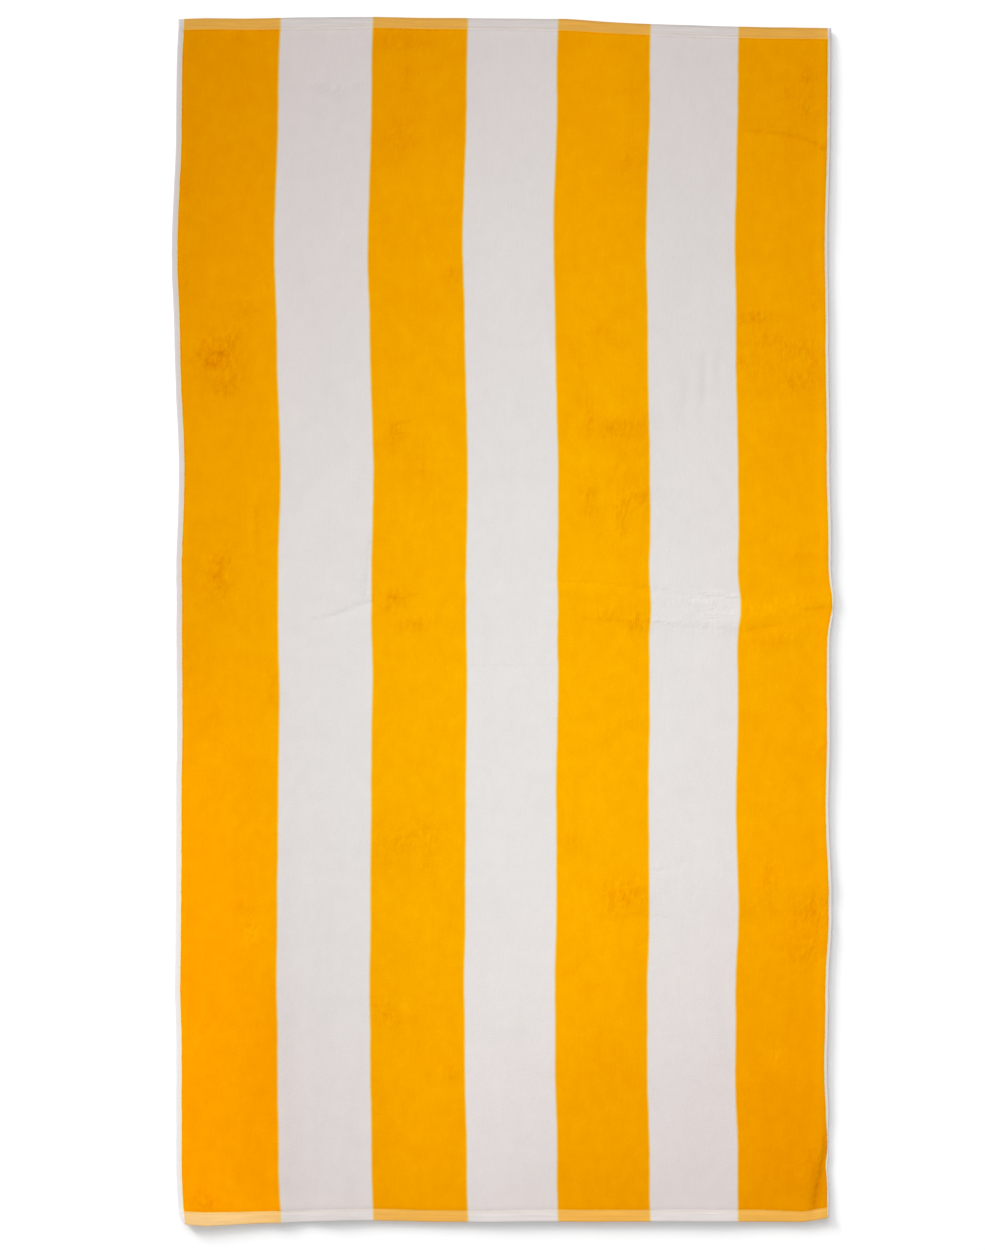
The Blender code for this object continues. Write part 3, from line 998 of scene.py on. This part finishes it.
def pile_relief(tree, creases):
    """The pile's normal: a grain of cut tufts, and over it a nap with creases, crumpled where brushed."""
    # Real tufts are about 1.2 mm apart. The grain is drawn coarser so that it shows.
    tufts = stretched(tree, 1.7 * MM, 1.9 * MM)
    grain = add(tree, "TexVoronoi", {"Vector": tufts, "Scale": 1.0, "Randomness": 0.8})
    fine = add(tree, "Bump", {"Height": grain, "Strength": 0.35, "Distance": 0.4 * MM}, invert=True)
    crumples = cloudy(tree, 6 * MM, 11 * MM, 1.5)
    crumpled = add(tree, "Math", {0: "brushed", 1: crumples}, operation="MULTIPLY")
    uneven = cloudy(tree, 5 * MM, 11 * MM, 3.0)
    nap = weighted_sum(tree, 0.0, (uneven, 0.5), (creases, -1.1), (crumpled, 4.5))
    return add(tree, "Bump", {"Height": nap, "Strength": 0.8, "Distance": 0.6 * MM, "Normal": fine})


def velour_material(colours):
    """Sheared cotton pile: matt, softly bright at a grazing angle, clouded where brushed, with painted light
    and shade.
    """
    material, tree, shader = new_material("sheared_cotton_velour")
    white = white_share(tree, 0.008)
    # Painted highlight: the pile is painted brighter and redder beside the left selvedge above the foot.
    # Painted shade: the pile is painted more orange and darker away from its yellowest place.
    golden = shifted(
        tree,
        colours.golden_pile,
        ("painted_shade_tint", colours.golden_pile_shaded),
        ("painted_highlight", colours.golden_pile_highlight),
    )
    # The white pile is given painted shade the same way.
    pale = shifted(tree, colours.white_pile, ("painted_shade_tint", colours.white_pile_shaded))
    base = striped(tree, white, golden, pale)

    creases = crease_line(tree)
    response = shifted(tree, GOLDEN_RESPONSE, (white, WHITE_RESPONSE))
    # Painted light and shade, the same in all three colours.
    evenly = weighted_sum(tree, 1.0, ("painted_light_and_shade", 1.0))
    shade = pile_shade(tree, creases)
    change = add(tree, "VectorMath", {0: shade, 1: response, 2: evenly}, operation="MULTIPLY_ADD")
    feed(tree, shader, {
        "Base Color": add(tree, "VectorMath", {0: base, 1: change}, operation="MULTIPLY"),
        "Normal": pile_relief(tree, creases),
        "Roughness": 0.95,
        "Specular IOR Level": 0.0,
        "Sheen Weight": 0.15,
        "Sheen Roughness": 0.5,
        "Sheen Tint": linear(SHEEN_TINT),
    })
    return material


def woven_height(tree, pitch):
    """Plain weave: yarns over and under in turn, sin(across) * sin(along) at that pitch."""
    place = stretched(tree, pitch / (2 * np.pi), pitch / (2 * np.pi))
    waves = add(tree, "VectorMath", {0: place}, operation="SINE")
    parts = add(tree, "SeparateXYZ", {0: waves}).node.outputs
    return add(tree, "Math", {0: parts["X"], 1: parts["Y"]}, operation="MULTIPLY")


def finish_woven(tree, shader, base, shade, weave):
    """Plain-woven cotton: dull, with a low relief of yarns that takes the light evenly."""
    feed(tree, shader, {
        "Base Color": add(tree, "VectorMath", {0: base, "Scale": shade}, operation="SCALE"),
        "Normal": add(tree, "Bump", {"Height": weave, "Strength": 0.6, "Distance": 0.12 * MM}),
        "Roughness": 0.85,
        "Specular IOR Level": 0.3,
    })


def band_material(colours):
    """Plain-woven cotton band: golden or white warp crossed by white weft, paler than the pile beside it."""
    material, tree, shader = new_material("plain_woven_cotton_band")
    # Painted highlight: the hem is painted brighter beside the left selvedge.
    golden = shifted(tree, colours.golden_band, ("painted_highlight", colours.golden_band_highlight))
    base = striped(tree, white_share(tree, 0.004), fluffed(tree, golden), colours.white_band[:3])
    # Real yarns are about half as far apart. The weave is drawn coarser so that it shows.
    weave = woven_height(tree, 1.4 * MM)
    uneven = cloudy(tree, 50 * MM, 2.6 * MM, 3.0, -0.16, 0.16)
    # Painted shade at the head hem's fold, and a painted highlight along each seam.
    # Painted shade: the weave's hollows are painted a little darker.
    shade = weighted_sum(tree, 1.0, (weave, 0.05), (uneven, 1.0), ("hem_shade", 1.0))
    finish_woven(tree, shader, base, shade, weave)
    return material


def selvedge_material(colours):
    """Close-woven white selvedge: flat, firm and plain, with streaks along its warp."""
    material, tree, shader = new_material("woven_cotton_selvedge")
    # Painted highlight: the selvedge is painted brighter above the foot.
    base = fluffed(tree, shifted(tree, colours.selvedge, ("painted_highlight", colours.selvedge_highlight)))
    streaks = cloudy(tree, 2 * MM, 25 * MM, 3.0, 0.94, 1.06)
    # The weave is drawn coarser than the real one here too.
    finish_woven(tree, shader, base, streaks, woven_height(tree, 1.2 * MM))
    return material


def loop_material(colours):
    """Uncut terry loops on the back: the same stripes, rougher and a little paler than the sheared face."""
    material, tree, shader = new_material("cotton_terry_loops")
    base = shifted(tree, colours.golden_pile, (white_share(tree, 0.02), colours.white_pile))
    # Real loops are about 1.5 mm apart. They are drawn coarser so that they show.
    spaced = stretched(tree, 2.0 * MM, 2.4 * MM)
    loops = add(tree, "TexVoronoi", {"Vector": spaced, "Scale": 1.0, "Randomness": 0.6})
    # Painted shade: the back is painted darker between the loops.
    shade = weighted_sum(tree, 1.12, (loops, -0.35))
    feed(tree, shader, {
        "Base Color": add(tree, "VectorMath", {0: base, "Scale": shade}, operation="SCALE"),
        "Normal": add(tree, "Bump", {"Height": loops, "Strength": 0.9, "Distance": 1.0 * MM}, invert=True),
        "Roughness": 0.95,
        "Specular IOR Level": 0.2,
        "Sheen Weight": 0.15,
    })
    return material


def thread_material(colours):
    """Spun cotton sewing thread: straw-coloured and matt. Its twist shows only from close by."""
    material, tree, shader = new_material("cotton_sewing_thread")
    twist = cloudy(tree, 0.4 * MM, 0.4 * MM, 1.0)
    feed(tree, shader, {
        "Base Color": colours.thread,
        "Normal": add(tree, "Bump", {"Height": twist, "Strength": 0.5, "Distance": 0.08 * MM}),
        "Roughness": 0.7,
    })
    return material


def floor_material(colours):
    """Smooth white backdrop paper: plain, even and matt, so that only the towel's shadow shows on it."""
    material, tree, shader = new_material("white_backdrop_paper")
    feed(tree, shader, {"Base Color": colours.floor, "Roughness": 0.9, "Specular IOR Level": 0.1})
    return material


# ---------------------------------------------------------------------------------------------------------
# Settings, operators and panel


def setting(name, description, default, **more):
    return FloatProperty(name=name, description=description, default=default, min=0.0, **more)


def length_setting(name, description, default):
    return setting(name, description, default, unit="LENGTH", precision=4)


def angle_setting(name, description, degrees):
    return setting(name, description, np.radians(degrees), unit="ROTATION")


def colour_setting(name, description, hex_colour):
    return FloatVectorProperty(
        name=name, description=description, default=linear(hex_colour), size=4, min=0, max=1, subtype="COLOR"
    )


class TowelCloth(bpy.types.PropertyGroup):
    length: length_setting("Length", "Between the two end edges", 1.600)
    first_stripe: length_setting("First stripe", "Width of the stripe at the left", 0.1273)
    stripe_change: FloatProperty(
        name="Stripe change",
        description="How much wider each stripe is than the one on its left",
        default=-0.00155,
        unit="LENGTH",
        precision=5,
    )
    left_selvedge: length_setting("Left selvedge", "Flat woven border at the left", 0.0074)
    right_selvedge: length_setting("Right selvedge", "Flat woven border at the right", 0.0046)
    hem: length_setting("Hem", "Depth of the band without pile at each end", 0.016)


class TowelColours(bpy.types.PropertyGroup):
    golden_pile: colour_setting("Golden pile", "Dyed pile in the middle of the towel", "E9A300")
    # Painted shade: the pile's colour at the corners, where less light falls.
    golden_pile_shaded: colour_setting("Deep golden pile", "Dyed pile at the towel's corners", "E99200")
    # Painted highlight: the pile's colour where more light falls.
    golden_pile_highlight: colour_setting("Bright golden pile", "Dyed pile that leans to the light", "FFA000")
    white_pile: colour_setting("White pile", "Undyed pile in the middle of the towel", "D4D1CF")
    # Painted shade: the white pile's colour at the corners.
    white_pile_shaded: colour_setting("Deep white pile", "Undyed pile at the towel's corners", "D8CDCB")
    golden_band: colour_setting("Golden band", "Hem across a golden stripe", "E7AB47")
    # Painted highlight: the hem's colour where more light falls.
    golden_band_highlight: colour_setting("Bright golden band", "Hem that faces the light", "F7CB88")
    white_band: colour_setting("White band", "Hem across a white stripe", "D9D1CE")
    selvedge: colour_setting("Selvedge", "Flat woven border", "DAD2D3")
    # Painted highlight: the selvedge's colour where more light falls.
    selvedge_highlight: colour_setting("Bright selvedge", "Flat woven border that faces the light", "F2EFF0")
    thread: colour_setting("Thread", "Sewing thread of the hems", "E3BE82")
    floor: colour_setting("Floor", "Backdrop paper", "FFFFFF")


class TowelStage(bpy.types.PropertyGroup):
    frame_height: length_setting("Frame height", "Height of the picture at the towel", 1.6639)
    lens: FloatProperty(name="Lens", description="Focal length", default=85.0, min=1.0, unit="CAMERA")
    key_side: angle_setting("Key side", "Of the key light, from the head edge towards the left", 39)
    key_strength: setting("Key light", "Falls on the towel", 1.73)
    key_height: angle_setting("Key height", "Of the key light above the floor", 30)
    key_softness: angle_setting("Key softness", "Angle that the key light fills", 28)
    floor_strength: setting("Floor lights", "Share of their full strength", 1.0)
    top_power: setting("Top light", "Softbox overhead", 7.5, unit="POWER")
    sky: setting("Sky", "Strength of the even white surroundings", 0.462)


class TOWEL_OT_cloth(bpy.types.Operator):
    """Make the cloth, a closed sheet with its creases, hems and selvedges"""

    bl_idname = "towel.cloth"
    bl_label = "Make Cloth"

    def execute(self, context):
        piece = build_cloth(context.scene.towel_cloth)
        for make in (velour_material, band_material, selvedge_material, loop_material):
            piece.data.materials.append(make(context.scene.towel_colours))
        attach(piece, "root")
        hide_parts("towel")
        return {"FINISHED"}


class TOWEL_OT_tufts(bpy.types.Operator):
    """Make the tufts that soften the pile's border beside the hems and selvedges"""

    bl_idname = "towel.tufts"
    bl_label = "Make Border Tufts"

    def execute(self, context):
        piece = build_tufts(context.scene.towel_cloth)
        piece.data.materials.append(bpy.data.materials["sheared_cotton_velour"])
        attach(piece, "root")
        return {"FINISHED"}


class TOWEL_OT_hem_stitching(bpy.types.Operator):
    """Make the line of stitches along each hem"""

    bl_idname = "towel.hem_stitching"
    bl_label = "Make Hem Stitching"

    def execute(self, context):
        cloth = context.scene.towel_cloth
        thread = thread_material(context.scene.towel_colours)
        for name, end in (("head_stitching", 1), ("foot_stitching", -1)):
            piece = build_stitching(cloth, name, end)
            piece.data.materials.append(thread)
            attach(piece, "root")
        return {"FINISHED"}


# The camera looks straight down, a little left of the towel's middle and nearer to its foot.
CAMERA_RIGHT = -13.8 * MM
CAMERA_UP = -5.0 * MM
FACE_HEIGHT = 3.5 * MM
SENSOR_MM = 36.0

# The floor, a little below the cloth, and the lights.
FLOOR_SIZE = 60.0
FLOOR_DROP = 0.2 * MM
SUN_DISTANCE = 4.0
TOP_LIGHT_PLACE = (0.095, -0.147, 1.2)
TOP_LIGHT_AIM = (0.095, -0.147, 0.0)
TOP_LIGHT_SIZE = 0.8

# Three soft lights on the backdrop alone: their shadows overlap into one that fades out evenly.
FLOOR_LIGHTS = np.array([
    # degrees from the head edge towards the left, of height, and of width, strength
    (0, 90, 20, 0.27),
    (41, 14, 17, 3.25),
    (17, 6.6, 76, 3.8),
])


def add_light(name, data, place, aim, only_on):
    """Puts a lamp at a place, facing a point and out of the camera's sight, that lights only some objects."""
    light = bpy.data.objects.new(name, data)
    light.location = place
    light.rotation_euler = (Vector(aim) - Vector(place)).to_track_quat("-Z", "Y").to_euler()
    light.visible_camera = False
    bpy.context.scene.collection.objects.link(light)
    lit = bpy.data.collections.new(name + "_on")
    for piece in only_on:
        lit.objects.link(piece)
    light.light_linking.receiver_collection = lit


def add_sun(name, side, height, softness, strength, only_on):
    """An even light of that height above the floor, from `side` of the head edge towards the left."""
    data = bpy.data.lights.new(name, "SUN")
    data.energy = strength
    data.angle = softness
    level = SUN_DISTANCE * np.cos(height)
    place = (-level * np.sin(side), level * np.cos(side), SUN_DISTANCE * np.sin(height))
    add_light(name, data, place, (0.0, 0.0, 0.0), only_on)


class TOWEL_OT_stage(bpy.types.Operator):
    """Make the floor, the lights, the surroundings and the camera above the towel"""

    bl_idname = "towel.stage"
    bl_label = "Make Stage"

    def execute(self, context):
        scene = context.scene
        stage = scene.towel_stage
        half = FLOOR_SIZE / 2
        mesh = bpy.data.meshes.new("studio_floor")
        corners = ((-half, -half), (half, -half), (half, half), (-half, half))
        mesh.from_pydata([(x, y, -FLOOR_DROP) for x, y in corners], [], [(0, 1, 2, 3)])
        mesh.materials.append(floor_material(scene.towel_colours))
        floor = bpy.data.objects.new("studio_floor", mesh)
        scene.collection.objects.link(floor)

        towel = [piece for piece in scene.objects if piece.type == "MESH" and piece is not floor]
        add_sun("key_light", stage.key_side, stage.key_height, stage.key_softness, stage.key_strength, towel)
        for number, (*angles, strength) in enumerate(FLOOR_LIGHTS, 1):
            add_sun(f"floor_light_{number}", *np.radians(angles), strength * stage.floor_strength, [floor])

        top = bpy.data.lights.new("top_softbox", "AREA")
        top.shape = "SQUARE"
        top.size = TOP_LIGHT_SIZE
        top.energy = stage.top_power
        add_light("top_softbox", top, TOP_LIGHT_PLACE, TOP_LIGHT_AIM, towel)

        world = bpy.data.worlds.new("even_surroundings")
        world.use_nodes = True
        background = world.node_tree.nodes["Background"]
        background.inputs["Color"].default_value = (1.0, 1.0, 1.0, 1.0)
        background.inputs["Strength"].default_value = stage.sky
        scene.world = world
        scene.view_settings.view_transform = "Standard"

        data = bpy.data.cameras.new("camera")
        data.lens = stage.lens
        data.sensor_width = SENSOR_MM
        camera = bpy.data.objects.new("camera", data)
        distance = stage.frame_height * stage.lens / SENSOR_MM
        camera.location = (CAMERA_RIGHT, CAMERA_UP, FACE_HEIGHT + distance)
        scene.collection.objects.link(camera)
        scene.camera = camera
        return {"FINISHED"}


class TOWEL_PT_panel(bpy.types.Panel):
    """Settings of the towel, and the buttons that make it"""

    bl_label = "Beach Towel"
    bl_idname = "TOWEL_PT_panel"
    bl_space_type = "VIEW_3D"
    bl_region_type = "UI"
    bl_category = "Beach Towel"

    def draw(self, context):
        layout = self.layout
        for group in (context.scene.towel_cloth, context.scene.towel_colours, context.scene.towel_stage):
            box = layout.box()
            for name in group.__annotations__:
                box.prop(group, name)
        for operator in OPERATORS:
            layout.operator(operator.bl_idname)


GROUPS = {"towel_cloth": TowelCloth, "towel_colours": TowelColours, "towel_stage": TowelStage}
OPERATORS = (TOWEL_OT_cloth, TOWEL_OT_tufts, TOWEL_OT_hem_stitching, TOWEL_OT_stage)


def register():
    for name, group in GROUPS.items():
        bpy.utils.register_class(group)
        setattr(bpy.types.Scene, name, PointerProperty(type=group))
    for kind in (*OPERATORS, TOWEL_PT_panel):
        bpy.utils.register_class(kind)


def unregister():
    for kind in (TOWEL_PT_panel, *OPERATORS[::-1]):
        bpy.utils.unregister_class(kind)
    for name, group in GROUPS.items():
        delattr(bpy.types.Scene, name)
        bpy.utils.unregister_class(group)


def main():
    """Makes the towel and its stage."""
    register()
    for operator in OPERATORS:
        package, name = operator.bl_idname.split(".")
        getattr(getattr(bpy.ops, package), name)()


if __name__ == "__main__":
    main()
